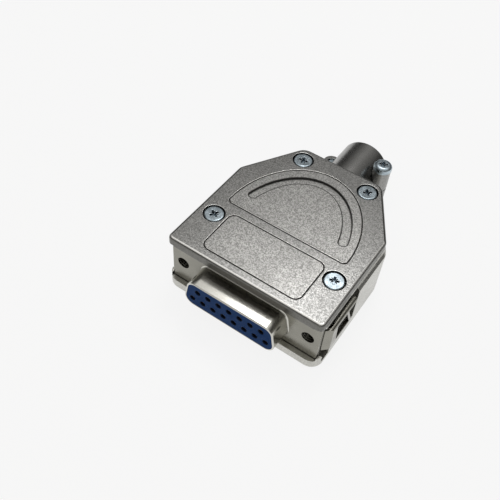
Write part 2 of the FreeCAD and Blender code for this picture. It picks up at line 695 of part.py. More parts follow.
def lock_slide():
    """Bent sheet that slides sideways behind the flange and ends in a finger tab on each side."""
    owner = new_part("lock_slide")
    middle, back = "travel / 2", "slide_front + slide_thick"
    box(owner, "Plate", (f"{middle} - slide_bar_half", "slide_front", "-slide_bar"),
        (f"{middle} + slide_bar_half", back, "slide_bar"))
    soften(owner, "PlateCorners", "flange_corner", lambda edge: runs(edge, "y"))
    for name, across in (("EndRight", "1"), ("EndLeft", "-1")):
        slide_end(owner, name, across, middle)
    out = "strap_out - travel / 2"
    for name, low, high in (
        ("LipRight", f"{middle} + {out} - strap_lip", f"{middle} + {out} - slide_thick / 2"),
        ("LipLeft", f"{middle} - {out} + slide_thick / 2", f"{middle} - {out} + strap_lip"),
    ):
        box(owner, name, (low, "strap_lip_front", "strap_high - slide_thick"),
            (high, "strap_rear", "strap_high"))
    outer = (cell("strap_out"), cell("travel") - cell("strap_out"))
    soften(owner, "TabEdge", "slide_thick - 0.05",
           lambda edge: runs(edge, "y") and level(edge, "z", cell("strap_high"))
           and any(level(edge, "x", x) for x in outer))
    for side, x in mirrored("hole_spacing / 2"):
        rod(owner, f"Key{side}", (x, "slide_front - 1", "0"), "keyhole_rad", "3", "y", cut=True)
        end = (f"{x} + travel", "slide_front - 1", "0")
        rod(owner, f"KeyEnd{side}", end, "keyhole_slot", "3", "y", cut=True)
        box(owner, f"KeySlot{side}", (x, "slide_front - 1", "-keyhole_slot"),
            (f"{x} + travel", "slide_front + 2", "keyhole_slot"), cut=True)
    dee(owner, "Opening", "-ledge_grow - sheet_thick - slide_gap", "slide_front - 1", f"{back} + 1", cut=True,
        right="travel")
    finger_window(owner)


def finger_window(owner):
    """The slanted window in both finger tabs, and the cut behind its rear strip."""
    slant = "(window_rear_low - window_rear) / (window_top + window_low)"
    window = sketch_on(owner, "WindowSketch", "YZ_Plane", "-2 * strap_out")
    polygon(window, [
        ("window_front + window_slant", "-window_low"), ("window_rear_low", "-window_low"),
        ("window_rear", "window_top"), ("window_front", "window_top"),
    ])
    pocket(owner, "Window", window, "4 * strap_out", reverse=True)
    behind = sketch_on(owner, "BehindSketch", "YZ_Plane", "-2 * strap_out")
    polygon(behind, [
        (f"window_rear_low + rim_rear + (strap_high + 1 - window_low) * {slant}", "-strap_high - 1"),
        ("strap_rear + 1", "-strap_high - 1"), ("strap_rear + 1", "window_top"),
        ("window_rear + rim_rear", "window_top"),
    ])
    pocket(owner, "Behind", behind, "4 * strap_out", reverse=True)


# Cable clamp

def clamp_half(label, upside_down, thread_boss):
    """Half of the split cable clamp, drawn about the cable's axis; the halves differ in one boss only."""
    owner = new_part(label)
    rod(owner, "Tube", ("0", "tube_front", "0"), "tube_rad", "tube_rear - tube_front", "y")
    soften(owner, "TubeEnd", "tube_edge", lambda edge: level(edge, "y", cell("tube_rear")))
    rod(owner, "Neck", ("0", "collar_front", "0"), "neck_rad", "tube_front - collar_front + 0.5", "y")
    box(owner, "Collar", ("-collar_half", "collar_front", "-collar_high"),
        ("collar_half", "collar_rear", "collar_high"))
    rod(owner, "BossTall", ("clamp_x", "clamp_y", "0"), "ear_rad", "ear_tall")
    rod(owner, "BossLow", ("-clamp_x", "clamp_y", "0"), "ear_rad", thread_boss)
    big = "2 * tube_rear"
    box(owner, "OtherHalf", (f"-{big}", "0", f"-{big}"), (big, big, "split"), cut=True)
    rod(owner, "Bore", ("0", "collar_front - 1", "0"), "bore_rad", big, "y", cut=True)
    for index in range(3):
        start = ("0", f"grip_start + {index} * grip_step", "0")
        rod(owner, f"Grip{index}", start, "groove_rad", "grip_long", "y", cut=True)
    rod(owner, "Mouth", ("0", "grip_start + 3 * grip_step", "0"), "groove_rad", big, "y", cut=True)
    rod(owner, "Pass", ("clamp_x", "clamp_y", "-1"), "pass_rad", "2 * tube_rad", cut=True)
    rod(owner, "Thread", ("-clamp_x", "clamp_y", "-1"), "thread_rad", "2 * tube_rad", cut=True)
    place(owner, "0", "0", "-tube_z", turn=FreeCAD.Rotation(FreeCAD.Vector(0, 1, 0), upside_down))


def cable_clamp():
    """The two clamp halves, turned to face each other, and the screw in each one's tall boss."""
    clamp_half("clamp_upper", 0, "ear_low")
    clamp_half("clamp_lower", 180, "ear_deep")
    for label, x, z, upside_down, shank_long in (
        ("clamp_screw_right", "clamp_x", "ear_tall - tube_z", 0, "shank_right"),
        ("clamp_screw_left", "-clamp_x", "-ear_tall - tube_z", 180, "shank_left"),
    ):
        owner = screw(label, "clamp_head_rad", "clamp_head_high", "clamp_head_round", shank_long)
        place(owner, x, "clamp_y", z, turn=FreeCAD.Rotation(FreeCAD.Vector(0, 1, 0), upside_down))


def write_parts():
    """Check every object, then write each sub-part's shape."""
    doc.removeObject(probe.Name)
    doc.recompute()
    failed = [item.Name for item in doc.Objects if "Invalid" in item.State or "Error" in item.State]
    failed += [item.Label for item in PARTS if item.Shape.isNull() or not item.Shape.isValid()]
    if failed:
        raise RuntimeError(f"these objects failed: {failed}")
    for item in PARTS:
        item.Shape.exportStep(f"parts/{item.Label}.step")
        print(item.Label, len(item.Shape.Solids), round(item.Shape.Volume, 2))


front_shell()
rear_shell()
insulator_front()
insulator_rear()
contacts()
housing()
cover()
cover_screws()
lock_slide()
cable_clamp()
write_parts()
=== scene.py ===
import math

import bpy
from bpy.props import FloatProperty, FloatVectorProperty, PointerProperty
from mathutils import Matrix, Vector


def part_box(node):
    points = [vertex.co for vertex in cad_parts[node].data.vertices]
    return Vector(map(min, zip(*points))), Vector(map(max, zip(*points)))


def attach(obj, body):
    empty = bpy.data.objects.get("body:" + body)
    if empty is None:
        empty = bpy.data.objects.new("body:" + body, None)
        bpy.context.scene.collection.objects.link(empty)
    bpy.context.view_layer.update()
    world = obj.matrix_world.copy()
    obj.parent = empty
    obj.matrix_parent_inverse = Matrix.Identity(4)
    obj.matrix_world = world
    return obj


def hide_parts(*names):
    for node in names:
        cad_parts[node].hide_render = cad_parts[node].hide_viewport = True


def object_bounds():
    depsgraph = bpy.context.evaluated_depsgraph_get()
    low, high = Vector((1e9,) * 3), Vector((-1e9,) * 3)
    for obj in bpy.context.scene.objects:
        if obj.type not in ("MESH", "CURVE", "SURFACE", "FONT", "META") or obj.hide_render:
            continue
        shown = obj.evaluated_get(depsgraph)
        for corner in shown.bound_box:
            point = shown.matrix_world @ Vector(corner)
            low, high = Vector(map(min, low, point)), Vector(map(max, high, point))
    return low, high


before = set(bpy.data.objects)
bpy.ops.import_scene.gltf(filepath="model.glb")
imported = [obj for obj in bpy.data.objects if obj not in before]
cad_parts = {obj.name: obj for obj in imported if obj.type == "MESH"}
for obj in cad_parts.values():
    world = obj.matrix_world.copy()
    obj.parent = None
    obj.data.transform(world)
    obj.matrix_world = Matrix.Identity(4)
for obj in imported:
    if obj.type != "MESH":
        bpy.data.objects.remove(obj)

# A 15-way D-sub connector in a die-cast hood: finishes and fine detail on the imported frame.
# Metres, in the frame's own axes: X along the connector, Y back to the cable, Z up.

bl_info = {
    "name": "D-sub Connector",
    "version": (1, 0, 0),
    "blender": (4, 5, 0),
    "location": "3D View > Sidebar > Connector",
    "description": "Builds the finished look of a D-sub connector in a die-cast hood",
    "category": "Add Mesh",
}

MM = 0.001
SLACK = 0.01 * MM
CAD_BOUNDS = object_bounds()
COVER_SCREWS = [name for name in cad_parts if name.startswith("cover_screw_")]
CLAMP_SCREWS = [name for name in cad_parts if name.startswith("clamp_screw_")]
CONTACTS = sorted(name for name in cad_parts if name.startswith("contact_"))


# Settings

class CONNECTOR_PG_castings(bpy.types.PropertyGroup):
    """Sizes and colours of the die-cast hood and cable clamp."""
    edge_radius: FloatProperty(
        name="Edge radius", description="Rounding of the castings' outer edges", unit="LENGTH",
        default=0.08 * MM, min=0)
    groove_radius: FloatProperty(
        name="Groove radius", description="Rounding of the edges of the cover's grooves and wells",
        unit="LENGTH", default=0.07 * MM, min=0)
    slot_line: FloatProperty(
        name="Slot line", description="Width of the dark line round the curved slot", unit="LENGTH",
        default=0.22 * MM, min=0)
    colour: FloatVectorProperty(
        name="Colour", description="Dull nickel plate", subtype="COLOR",
        default=(0.36, 0.356, 0.343), min=0, max=1)
    border_colour: FloatVectorProperty(
        name="Border colour", description="Plate of the cover's border and of the clamp",
        subtype="COLOR", default=(0.31, 0.307, 0.297), min=0, max=1)
    grain: FloatProperty(
        name="Grain", description="Size of the blasted grain", unit="LENGTH",
        default=0.24 * MM, min=0)
    field_roughness: FloatProperty(
        name="Field roughness", description="Roughness of the label field and the arched field",
        subtype="FACTOR", default=0.32, min=0, max=1)
    border_roughness: FloatProperty(
        name="Border roughness", description="Roughness of the border and the walls",
        subtype="FACTOR", default=0.26, min=0, max=1)
    # Painted highlight: a bright copy of the plate on the rim faces turned up towards the front and
    # right, and on the rounded lips of the grooves.
    highlight_colour: FloatVectorProperty(
        name="Edge colour", description="Rubbed upper edge of the cover", subtype="COLOR",
        default=(0.85, 0.84, 0.81), min=0, max=1)
    # Painted shade: a darker copy of the plate for the cover's upright outer sides and for the rim
    # faces turned away from the front and right.
    shaded_side_colour: FloatVectorProperty(
        name="Side colour", description="Darker upright faces of the cover", subtype="COLOR",
        default=(0.17, 0.167, 0.155), min=0, max=1)
    wall_colour: FloatVectorProperty(
        name="Wall colour", description="Plate of the housing's walls", subtype="COLOR",
        default=(0.55, 0.543, 0.505), min=0, max=1)
    clamp_roughness: FloatProperty(
        name="Clamp roughness", description="Roughness of the smoother cable clamp",
        subtype="FACTOR", default=0.22, min=0, max=1)


class CONNECTOR_PG_sheet(bpy.types.PropertyGroup):
    """Sizes and colours of the drawn and bent sheet steel."""
    # Kept much darker than the polished tube, as painted shade on the flange; the locking slide
    # takes the same colour.
    colour: FloatVectorProperty(
        name="Colour", description="Tin-plated steel", subtype="COLOR",
        default=(0.30, 0.292, 0.255), min=0, max=1)
    tube_colour: FloatVectorProperty(
        name="Tube colour", description="Polished D-shaped tube", subtype="COLOR",
        default=(0.66, 0.65, 0.60), min=0, max=1)
    roughness: FloatProperty(
        name="Roughness", description="Roughness of the plated sheet", subtype="FACTOR",
        default=0.2, min=0, max=1)
    tube_roughness: FloatProperty(
        name="Tube roughness", description="Roughness of the polished D-shaped tube",
        subtype="FACTOR", default=0.12, min=0, max=1)
    edge_radius: FloatProperty(
        name="Edge radius", description="Rounding of the sheet's edges", unit="LENGTH",
        default=0.05 * MM, min=0)


class CONNECTOR_PG_insulator(bpy.types.PropertyGroup):
    """Sizes and colours of the moulded insulator."""
    colour: FloatVectorProperty(
        name="Colour", description="Deep blue plastic", subtype="COLOR",
        default=(0.003, 0.04, 0.155), min=0, max=1)
    mouth_chamfer: FloatProperty(
        name="Mouth chamfer", description="Chamfer of the contact holes", unit="LENGTH",
        default=0.16 * MM, min=0)


class CONNECTOR_PG_screws(bpy.types.PropertyGroup):
    """Sizes and colours of the screws."""
    colour: FloatVectorProperty(
        name="Colour", description="Blue-white zinc plate", subtype="COLOR",
        default=(0.50, 0.58, 0.63), min=0, max=1)
    shank_radius: FloatProperty(
        name="Shank radius", description="Core of the thread", unit="LENGTH",
        default=1.15 * MM, min=0)
    thread_pitch: FloatProperty(
        name="Thread pitch", description="Rise of the thread in one turn", unit="LENGTH",
        default=0.6 * MM, min=0)
    thread_depth: FloatProperty(
        name="Thread depth", description="Height of the thread's ridge", unit="LENGTH",
        default=0.2 * MM, min=0)
    cover_head: FloatProperty(
        name="Cover screw head", description="Height of a cover screw's head", unit="LENGTH",
        default=1.35 * MM, min=0)
    clamp_head: FloatProperty(
        name="Clamp screw head", description="Height of a clamp screw's head", unit="LENGTH",
        default=1.7 * MM, min=0)
    recess_depth: FloatProperty(
        name="Recess depth", description="Depth of the cross recess", unit="LENGTH",
        default=0.9 * MM, min=0)
    recess_half: FloatProperty(
        name="Recess half length", description="From the middle to the end of a recess arm",
        unit="LENGTH", default=1.2 * MM, min=0)
    recess_width: FloatProperty(
        name="Recess arm width", description="Width of a recess arm at the top", unit="LENGTH",
        default=0.6 * MM, min=0)


class CONNECTOR_PG_stage(bpy.types.PropertyGroup):
    """Floor, light and camera."""
    floor_colour: FloatVectorProperty(
        name="Floor colour", description="Pale floor", subtype="COLOR",
        default=(0.8, 0.8, 0.8), min=0, max=1)
    key_power: FloatProperty(
        name="Key power", description="Power of the overhead soft box", unit="POWER",
        default=0.24, min=0)
    fill_power: FloatProperty(
        name="Fill power", description="Power of the front fill light", unit="POWER",
        default=0.1, min=0)
    focal_length: FloatProperty(
        name="Focal length", description="Camera lens in millimetres", unit="CAMERA",
        default=47.88, min=1)


GROUPS = {
    "castings": CONNECTOR_PG_castings,
    "sheet": CONNECTOR_PG_sheet,
    "insulator": CONNECTOR_PG_insulator,
    "screws": CONNECTOR_PG_screws,
    "stage": CONNECTOR_PG_stage,
}


def settings(name):
    """One group of settings of the scene."""
    return getattr(bpy.context.scene, f"connector_{name}")


# Selecting and shaping

SHARP_CORNER = math.radians(40)
SMOOTH_ANGLE = math.radians(35)
FLAT_ANGLE = math.radians(0.5)
MERGE_DISTANCE = 0.002 * MM
LARGE_FACE_WEIGHT = 100


def deselect():
    """Close edit mode and select nothing."""
    if bpy.context.object and bpy.context.object.mode != "OBJECT":
        bpy.ops.object.mode_set(mode="OBJECT")
    bpy.ops.object.select_all(action="DESELECT")


def select(piece):
    """Only this object is selected and active."""
    deselect()
    piece.select_set(True)
    bpy.context.view_layer.objects.active = piece


def edit(piece, elements="FACE"):
    """Open edit mode with nothing selected."""
    select(piece)
    bpy.ops.object.mode_set(mode="EDIT")
    bpy.ops.mesh.select_mode(type=elements)
    bpy.ops.mesh.select_all(action="DESELECT")


def pick(piece, kind, wanted):
    """In edit mode, select only the faces, edges or vertices that pass a test, and count them."""
    bpy.ops.object.mode_set(mode="OBJECT")
    mesh = piece.data
    chosen = [item.index for item in getattr(mesh, kind) if wanted(item)]
    for items in (mesh.polygons, mesh.edges, mesh.vertices):
        items.foreach_set("select", [False] * len(items))
    for index in chosen:
        getattr(mesh, kind)[index].select = True
    bpy.ops.object.mode_set(mode="EDIT")
    return len(chosen)


def ends(piece, edge):
    """The two end points of an edge."""
    return [piece.data.vertices[index].co for index in edge.vertices]


def near(value, target):
    """Whether two lengths are the same, apart from rounding."""
    return abs(value - target) < SLACK


def round_edges(piece, radius, wanted=lambda a, b: True, segments=2):
    """Round the sharp edges whose two ends pass a test."""
    edit(piece, "EDGE")
    bpy.ops.mesh.edges_select_sharp(sharpness=SHARP_CORNER)
    if not pick(piece, "edges", lambda edge: edge.select and wanted(*ends(piece, edge))):
        raise RuntimeError(f"{piece.name} has no such sharp edges")
    bpy.ops.mesh.bevel(offset=radius, segments=segments, affect="EDGES", clamp_overlap=False)
    deselect()


def finish(piece, name, node_name, coats):
    """Name and shade a piece, give it its materials and let it stand for its CAD node."""
    select(piece)
    bpy.ops.object.transform_apply(location=True, rotation=True, scale=True)
    bpy.ops.object.shade_smooth_by_angle(angle=SMOOTH_ANGLE)
    level = piece.modifiers.new("level", "WEIGHTED_NORMAL")
    level.keep_sharp = True
    level.weight = LARGE_FACE_WEIGHT
    bpy.ops.object.modifier_apply(modifier=level.name)
    piece.name = name
    piece.data.name = name
    piece.data.materials.clear()
    for material in coats:
        piece.data.materials.append(material)
    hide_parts(node_name)
    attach(piece, "slide" if node_name == "lock_slide" else "hood")


def paint(node_name, material):
    """Give a CAD node its material."""
    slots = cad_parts[node_name].data.materials
    slots.clear()
    slots.append(material)


def copy_of(node_name):
    """A merged copy of a CAD node's mesh, with its flat faces joined up."""
    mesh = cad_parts[node_name].data.copy()
    piece = bpy.data.objects.new(f"{node_name}_piece", mesh)
    bpy.context.collection.objects.link(piece)
    edit(piece, "EDGE")
    bpy.ops.mesh.select_all(action="SELECT")
    bpy.ops.mesh.remove_doubles(threshold=MERGE_DISTANCE)
    bpy.ops.mesh.dissolve_limited(angle_limit=FLAT_ANGLE)
    bpy.ops.mesh.select_all(action="DESELECT")
    bpy.ops.object.mode_set(mode="OBJECT")
    bpy.ops.mesh.customdata_custom_splitnormals_clear()
    return piece


# Node tools

def feed(tree, item, inputs):
    """Give a node's inputs, by name or index, their values or other nodes' sockets."""
    for name, value in inputs.items():
        if isinstance(value, bpy.types.NodeSocket):
            tree.links.new(value, item.inputs[name])
        else:
            item.inputs[name].default_value = value


def node(tree, kind, inputs=None, **options):
    """A new shader node."""
    item = tree.nodes.new(f"ShaderNode{kind}")
    for name, value in options.items():
        setattr(item, name, value)
    feed(tree, item, inputs or {})
    return item


def calculate(tree, operation, *values, clamp=False):
    """The result of a Math node."""
    item = node(tree, "Math", dict(enumerate(values)), operation=operation, use_clamp=clamp)
    return item.outputs[0]


def remap(tree, value, low, high, to_low=0.0, to_high=1.0):
    """A value moved smoothly from one range to another."""
    limits = {0: value, 1: low, 2: high, 3: to_low, 4: to_high}
    return node(tree, "MapRange", limits, interpolation_type="SMOOTHSTEP").outputs[0]


def noise(tree, point, scale, detail):
    """A noise value at a point."""
    return node(tree, "TexNoise", {"Vector": point, "Scale": scale, "Detail": detail}).outputs[0]


def opaque(colour):
    """A colour with full alpha; a socket stays as it is."""
    return colour if isinstance(colour, bpy.types.NodeSocket) else (*colour, 1.0)


def lay_over(tree, mask, below, above, amount=None):
    """A colour laid over another by a mask, at full strength or by an amount."""
    factor = mask if amount is None else calculate(tree, "MULTIPLY", mask, amount)
    colours = {0: factor, 6: opaque(below), 7: opaque(above)}
    return node(tree, "Mix", colours, data_type="RGBA").outputs[2]


def bump(tree, height, distance, strength, radius=None):
    """A bump normal, over rounded edges if a radius is given."""
    item = node(tree, "Bump", {"Height": height, "Distance": distance, "Strength": strength})
    if radius:
        edge = node(tree, "Bevel", {"Radius": radius}, samples=8).outputs[0]
        tree.links.new(edge, item.inputs["Normal"])
    return item.outputs[0]


# Effects that several materials share

CHIPS_PER_METRE = 1400.0
DUST_AND_SHADE_PER_METRE = 900.0


def shader_group(name, inputs, outputs):
    """An empty shader node group with named sockets, and its two ends."""
    group = bpy.data.node_groups.new(name, "ShaderNodeTree")
    group.interface.new_socket("Vector", in_out="INPUT", socket_type="NodeSocketVector")
    for label, default in inputs.items():
        socket = group.interface.new_socket(label, in_out="INPUT", socket_type="NodeSocketFloat")
        socket.default_value = default
    for label in outputs:
        group.interface.new_socket(label, in_out="OUTPUT", socket_type="NodeSocketFloat")
    given = group.nodes.new("NodeGroupInput").outputs
    return group, given, group.nodes.new("NodeGroupOutput").inputs


def cast_grain():
    """Blasted grain: a speckle for colour and roughness, and a height for bump."""
    fine_share, coarse_share, coarseness, pit_depth = 0.8, 0.2, 0.37, 0.4
    group, given, out = shader_group("Cast grain", {"Size": 0.2 * MM}, ["Speckle", "Height"])
    scale = calculate(group, "DIVIDE", 1.0, given["Size"])
    coarse_scale = calculate(group, "MULTIPLY", scale, coarseness)
    fine = noise(group, given["Vector"], scale, 2.0)
    coarse = noise(group, given["Vector"], coarse_scale, 3.0)
    pits = node(group, "TexVoronoi", {"Vector": given["Vector"], "Scale": scale}).outputs[0]
    coarse_part = calculate(group, "MULTIPLY", coarse, coarse_share)
    both = calculate(group, "MULTIPLY_ADD", fine, fine_share, coarse_part)
    group.links.new(remap(group, both, 0.36, 0.66), out["Speckle"])
    walls = remap(group, pits, 0.0, 0.5)
    group.links.new(calculate(group, "MULTIPLY_ADD", walls, pit_depth, both), out["Height"])
    return group


def edge_wear():
    """Edges rubbed bright: where the rounded normal leaves the face's own, broken by noise."""
    group, given, out = shader_group(
        "Edge wear", {"Radius": 0.2 * MM, "Breakup": 0.5}, ["Wear"])
    rounded = node(group, "Bevel", {"Radius": given["Radius"]}, samples=6).outputs[0]
    plain = node(group, "NewGeometry").outputs["Normal"]
    agree = node(group, "VectorMath", {0: rounded, 1: plain}, operation="DOT_PRODUCT")
    edge = remap(group, agree.outputs["Value"], 0.995, 0.85)
    chips = remap(group, noise(group, given["Vector"], CHIPS_PER_METRE, 3.0), 0.35, 0.6)
    lost = calculate(group, "MULTIPLY", chips, given["Breakup"])
    kept = calculate(group, "SUBTRACT", 1.0, lost)
    group.links.new(calculate(group, "MULTIPLY", edge, kept, clamp=True), out["Wear"])
    return group


def corner_dust_and_shade():
    """Dark dust and painted shade in corners and grooves: darker where ambient occlusion finds the
    surface closed in.
    """
    group, given, out = shader_group("Corner grime", {"Reach": 0.6 * MM}, ["Grime"])
    open_sky = node(group, "AmbientOcclusion", {"Distance": given["Reach"]}, samples=8)
    closed = remap(group, open_sky.outputs["AO"], 0.9, 0.35)
    uneven = noise(group, given["Vector"], DUST_AND_SHADE_PER_METRE, 2.0)
    patches = remap(group, uneven, 0.2, 0.6, 0.6, 1.0)
    group.links.new(calculate(group, "MULTIPLY", closed, patches), out["Grime"])
    return group


def tarnish():
    """Wide soft patches where the plating has dulled."""
    group, given, out = shader_group("Tarnish", {"Size": 12 * MM}, ["Patches"])
    scale = calculate(group, "DIVIDE", 1.0, given["Size"])
    wide = noise(group, given["Vector"], scale, 4.0)
    group.links.new(remap(group, wide, 0.3, 0.7), out["Patches"])
    return group


def hairlines():
    """Fine drawn lines along the sheet."""
    group, given, out = shader_group(
        "Hairlines", {"Spacing": 0.1 * MM, "Stretch": 40.0}, ["Lines"])
    across = calculate(group, "DIVIDE", 1.0, given["Spacing"])
    along = calculate(group, "DIVIDE", across, given["Stretch"])
    scale = node(group, "CombineXYZ", {0: along, 1: across, 2: across}).outputs[0]
    place = node(group, "VectorMath", {0: given["Vector"], 1: scale}, operation="MULTIPLY")
    lines = noise(group, place.outputs[0], 1.0, 3.0)
    group.links.new(remap(group, lines, 0.3, 0.7), out["Lines"])
    return group


EFFECTS = {
    "Cast grain": cast_grain,
    "Edge wear": edge_wear,
    "Corner grime": corner_dust_and_shade,
    "Tarnish": tarnish,
    "Hairlines": hairlines,
}


def use(tree, effect, **inputs):
    """A shared group, built at its first use and placed in a material; gives its outputs."""
    group = bpy.data.node_groups.get(effect) or EFFECTS[effect]()
    item = node(tree, "Group", node_tree=group)
    feed(tree, item, {label.capitalize(): value for label, value in inputs.items()})
    return item.outputs


# Finishes

NICKEL_RUBBED = (0.72, 0.71, 0.68)
# Dark colours laid into the castings' corners and grooves: dust and painted shade together.
CASTING_DUST_AND_SHADE = (0.02, 0.019, 0.017)
GROOVE_DUST_AND_SHADE = ((0.010, 0.009, 0.008), (0.045, 0.042, 0.037))
TIN_RUBBED = (0.9, 0.88, 0.84)
# Dark colours for the sheet's and the plastic's corners: dust and painted shade together.
SHEET_DUST_AND_SHADE = (0.05, 0.045, 0.04)
PLASTIC_DUST_AND_SHADE = (0.004, 0.006, 0.012)
HOLE_SHADE = ((0.001, 0.003, 0.010), (0.003, 0.008, 0.025))
GOLD = (0.78, 0.56, 0.22)
DULL_GOLD = (0.62, 0.44, 0.2)
TURNED_GOLD = (0.5, 0.34, 0.14)
ZINC_RUBBED = (0.85, 0.9, 0.94)
# Dark colour for the screws' recesses: dust and painted shade together.
SCREW_DUST_AND_SHADE = (0.05, 0.075, 0.10)
PLASTIC_GRAIN = 0.12 * MM
SOFT_EDGE = 0.08 * MM


def new_material(name):
    """A material with nothing but a Principled shader; gives its tree and its shader too."""
    material = bpy.data.materials.new(name)
    material.use_nodes = True
    return material, material.node_tree, material.node_tree.nodes["Principled BSDF"]


def coat(name, build, *values):
    """A material that one of the functions below finishes at its first use."""
    material = bpy.data.materials.get(name)
    if not material:
        material, tree, shader = new_material(name)
        build(tree, shader, node(tree, "TexCoord").outputs["Object"], *values)
    return material


def darker(colour, share):
    """A colour at a share of its brightness."""
    return [share * channel for channel in colour]


def cast_metal(tree, shader, point, colour, roughness, speckle=1.0):
    """Dull nickel on die-cast zinc: blasted grain, bright rubbed edges, dust and painted shade in
    the grooves and corners.
    """
    sizes = settings("castings")
    grain = use(tree, "Cast grain", vector=point, size=sizes.grain)
    wear = use(tree, "Edge wear", vector=point, radius=0.12 * MM, breakup=0.6)["Wear"]
    dust_and_shade = use(tree, "Corner grime", vector=point, reach=0.45 * MM)["Grime"]
    patches = use(tree, "Tarnish", vector=point, size=9 * MM)["Patches"]
    dark = darker(colour, 1.0 - 0.45 * speckle)
    light = [min(1.0, (1.0 + 0.4 * speckle) * channel) for channel in colour]
    speckled = lay_over(tree, grain["Speckle"], dark, light)
    dulled = lay_over(tree, patches, speckled, dark, 0.18)
    rubbed = lay_over(tree, wear, dulled, NICKEL_RUBBED, 0.6)
    base = calculate(tree, "MULTIPLY_ADD", grain["Speckle"], -0.06, roughness + 0.05)
    varied = calculate(tree, "MULTIPLY_ADD", patches, 0.05, base)
    feed(tree, shader, {
        "Base Color": lay_over(tree, dust_and_shade, rubbed, CASTING_DUST_AND_SHADE, 0.85),
        "Roughness": calculate(tree, "MULTIPLY_ADD", wear, -0.08, varied, clamp=True),
        "Metallic": 1.0,
        "Normal": bump(tree, grain["Height"], 0.03 * MM, 0.45 * speckle, sizes.edge_radius),
    })


def groove_dust(tree, shader, point):
    """Dark dust and painted shade for the grooves that outline the two fields and for the line
    round the curved slot.
    """
    grain = use(tree, "Cast grain", vector=point, size=0.2 * MM)
    feed(tree, shader, {
        "Base Color": lay_over(tree, grain["Speckle"], *GROOVE_DUST_AND_SHADE),
        "Roughness": 0.6,
        "Normal": bump(tree, grain["Height"], 0.02 * MM, 0.5),
    })


def sheet_metal(tree, shader, point, colour, roughness, shade=0.5):
    """Bright plated sheet with faint drawn lines, rubbed edges, dust and painted shade in corners,
    and a wider painted shade near corners by the share given as shade.
    """
    sizes = settings("sheet")
    lines = use(tree, "Hairlines", vector=point, spacing=0.12 * MM, stretch=30.0)["Lines"]
    patches = use(tree, "Tarnish", vector=point, size=5 * MM)["Patches"]
    wear = use(tree, "Edge wear", vector=point, radius=1.5 * sizes.edge_radius, breakup=0.4)["Wear"]
    dust_and_shade = use(tree, "Corner grime", vector=point, reach=0.6 * MM)["Grime"]
    # Painted shade: a wide darkening reaching 3 mm out from corners and overhangs.
    deep = use(tree, "Corner grime", vector=point, reach=3.0 * MM)["Grime"]
    dull = darker(colour, 0.82)
    drawn = lay_over(tree, lines, colour, dull, 0.35)
    patched = lay_over(tree, patches, drawn, dull, 0.4)
    rubbed = lay_over(tree, wear, patched, TIN_RUBBED, 0.6)
    shaded = lay_over(tree, deep, rubbed, SHEET_DUST_AND_SHADE, shade)
    varied = calculate(tree, "MULTIPLY_ADD", patches, 0.5 * roughness, roughness)
    feed(tree, shader, {
        "Base Color": lay_over(tree, dust_and_shade, shaded, SHEET_DUST_AND_SHADE, 0.55),
        "Roughness": calculate(tree, "MULTIPLY_ADD", lines, 0.3 * roughness, varied),
        "Metallic": 1.0,
        "Normal": bump(tree, lines, 0.004 * MM, 0.4, sizes.edge_radius),
    })


def moulded_blue(tree, shader, point):
    """Deep blue moulded plastic with a faint texture, paler edges, and dust and painted shade in
    its corners.
    """
    colour = settings("insulator").colour
    grain = use(tree, "Cast grain", vector=point, size=PLASTIC_GRAIN)
    patches = use(tree, "Tarnish", vector=point, size=3 * MM)["Patches"]
    wear = use(tree, "Edge wear", vector=point, radius=0.12 * MM, breakup=0.7)["Wear"]
    dust_and_shade = use(tree, "Corner grime", vector=point, reach=0.5 * MM)["Grime"]
    pale = [min(1.0, 2.2 * channel + 0.02) for channel in colour]
    mottled = lay_over(tree, patches, colour, darker(colour, 0.72), 0.5)
    rubbed = lay_over(tree, wear, mottled, pale, 0.5)
    feed(tree, shader, {
        "Base Color": lay_over(tree, dust_and_shade, rubbed, PLASTIC_DUST_AND_SHADE, 0.6),
        "Roughness": calculate(tree, "MULTIPLY_ADD", patches, 0.12, 0.36),
        "Specular IOR Level": 0.05,
        "Normal": bump(tree, grain["Height"], 0.008 * MM, 0.3, SOFT_EDGE),
    })


def hole_shade(tree, shader, point):
    """The insulator's plastic inside the contact holes, where hardly any light gets in."""
    grain = use(tree, "Cast grain", vector=point, size=PLASTIC_GRAIN)
    feed(tree, shader, {
        "Base Color": lay_over(tree, grain["Speckle"], *HOLE_SHADE),
        "Roughness": 0.6,
        "Specular IOR Level": 0.1,
        "Normal": bump(tree, grain["Height"], 0.008 * MM, 0.3),
    })


def contact_gold(tree, shader, point):
    """Thin gold plate on turned contacts, with duller patches and faint turning marks."""
    rings = use(tree, "Hairlines", vector=point, spacing=0.08 * MM, stretch=1.0)["Lines"]
    patches = use(tree, "Tarnish", vector=point, size=2 * MM)["Patches"]
    plate = lay_over(tree, patches, GOLD, DULL_GOLD)
    feed(tree, shader, {
        "Base Color": lay_over(tree, rings, plate, TURNED_GOLD, 0.3),
        "Roughness": calculate(tree, "MULTIPLY_ADD", rings, 0.1, 0.22),
        "Metallic": 1.0,
        "Normal": bump(tree, rings, 0.004 * MM, 0.3),
    })


def screw_zinc(tree, shader, point):
    """Blue-white zinc plate with dark dust and painted shade in the recess."""
    colour = settings("screws").colour
    grain = use(tree, "Cast grain", vector=point, size=0.3 * MM)
    patches = use(tree, "Tarnish", vector=point, size=1.6 * MM)["Patches"]
    wear = use(tree, "Edge wear", vector=point, radius=0.16 * MM, breakup=0.5)["Wear"]
    dust_and_shade = use(tree, "Corner grime", vector=point, reach=0.7 * MM)["Grime"]
    mottled = lay_over(tree, patches, colour, darker(colour, 0.6))
    rubbed = lay_over(tree, wear, mottled, ZINC_RUBBED, 0.8)
    feed(tree, shader, {
        "Base Color": lay_over(tree, dust_and_shade, rubbed, SCREW_DUST_AND_SHADE, 0.7),
        "Roughness": calculate(tree, "MULTIPLY_ADD", grain["Speckle"], 0.14, 0.2),
        "Metallic": 1.0,
        "Normal": bump(tree, grain["Height"], 0.012 * MM, 0.35, SOFT_EDGE),
    })


